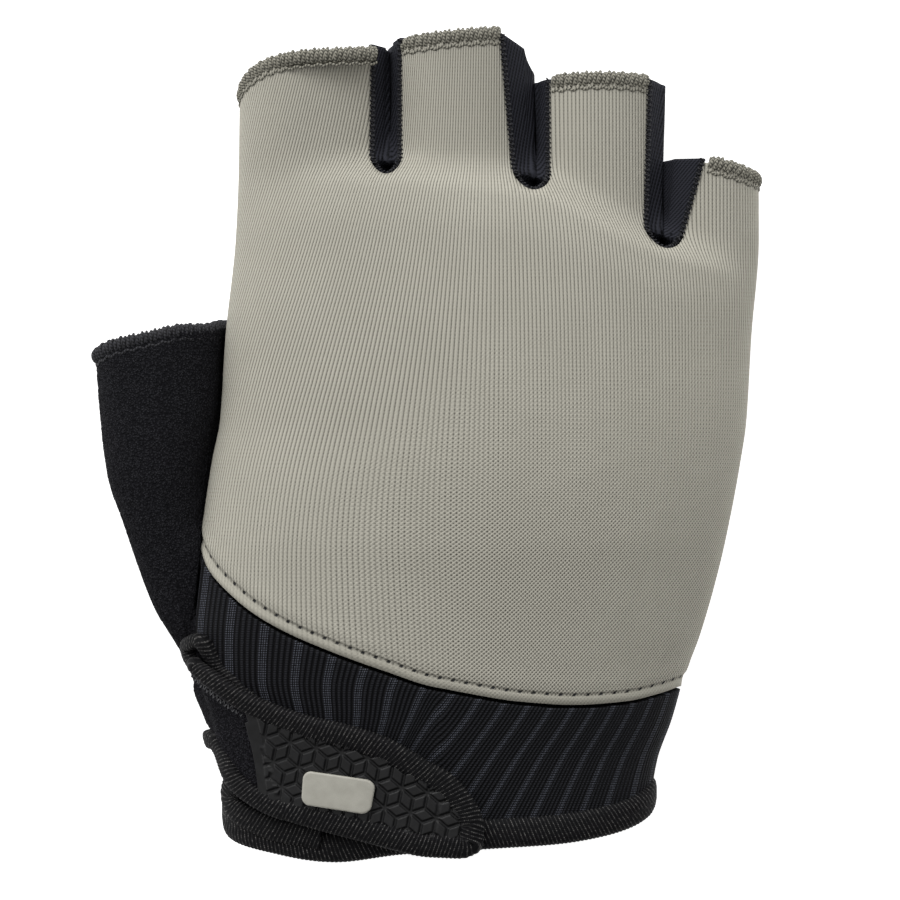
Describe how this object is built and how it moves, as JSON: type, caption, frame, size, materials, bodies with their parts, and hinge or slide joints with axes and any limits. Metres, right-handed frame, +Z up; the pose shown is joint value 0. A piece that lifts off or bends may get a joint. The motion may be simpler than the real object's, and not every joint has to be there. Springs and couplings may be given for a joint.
{
  "type": "cycling glove",
  "caption": "Fingerless right-hand cycling glove: stretch-knit back, black palm and terry thumb, ribbed elastic cuff, and a bound wrist strap with a lozenge-relief rubber label.",
  "frame": {"origin": "on the table under the middle of the glove's bounding box", "axes": "+Y from the wrist to the fingertips, +X towards the little finger, +Z up out of the back of the hand"},
  "size_m": [0.1206, 0.1492, 0.03],
  "materials": {
    "grey_knit": "fine stretch knit, matt",
    "black_suede": "synthetic suede, matt",
    "black_terry": "brushed terry, matt",
    "black_rib": "ribbed elastic",
    "black_strip": "thin stretch knit",
    "grey_hem": "overlocked thread",
    "black_hem": "overlocked thread",
    "black_tape": "ribbed elastic tape",
    "black_rubber": "moulded, satin",
    "grey_badge": "smooth, satin"
  },
  "bodies": {
    "root": {"back_panel": "grey_knit", "palm_panel": "black_suede", "thumb_panel": "black_terry", "cuff_panel": "black_rib", "fork_index_middle": "black_strip", "fork_middle_ring": "black_strip", "fork_ring_little": "black_strip", "index_hem": "grey_hem", "middle_hem": "grey_hem", "ring_hem": "grey_hem", "little_hem": "grey_hem", "thumb_hem": "black_hem", "wrist_binding": "black_tape", "slit_binding": "black_tape", "strap_binding": "black_tape", "strap_tab": "black_terry", "strap_patch": "black_rubber", "strap_badge": "grey_badge"}
  },
  "joints": []
}
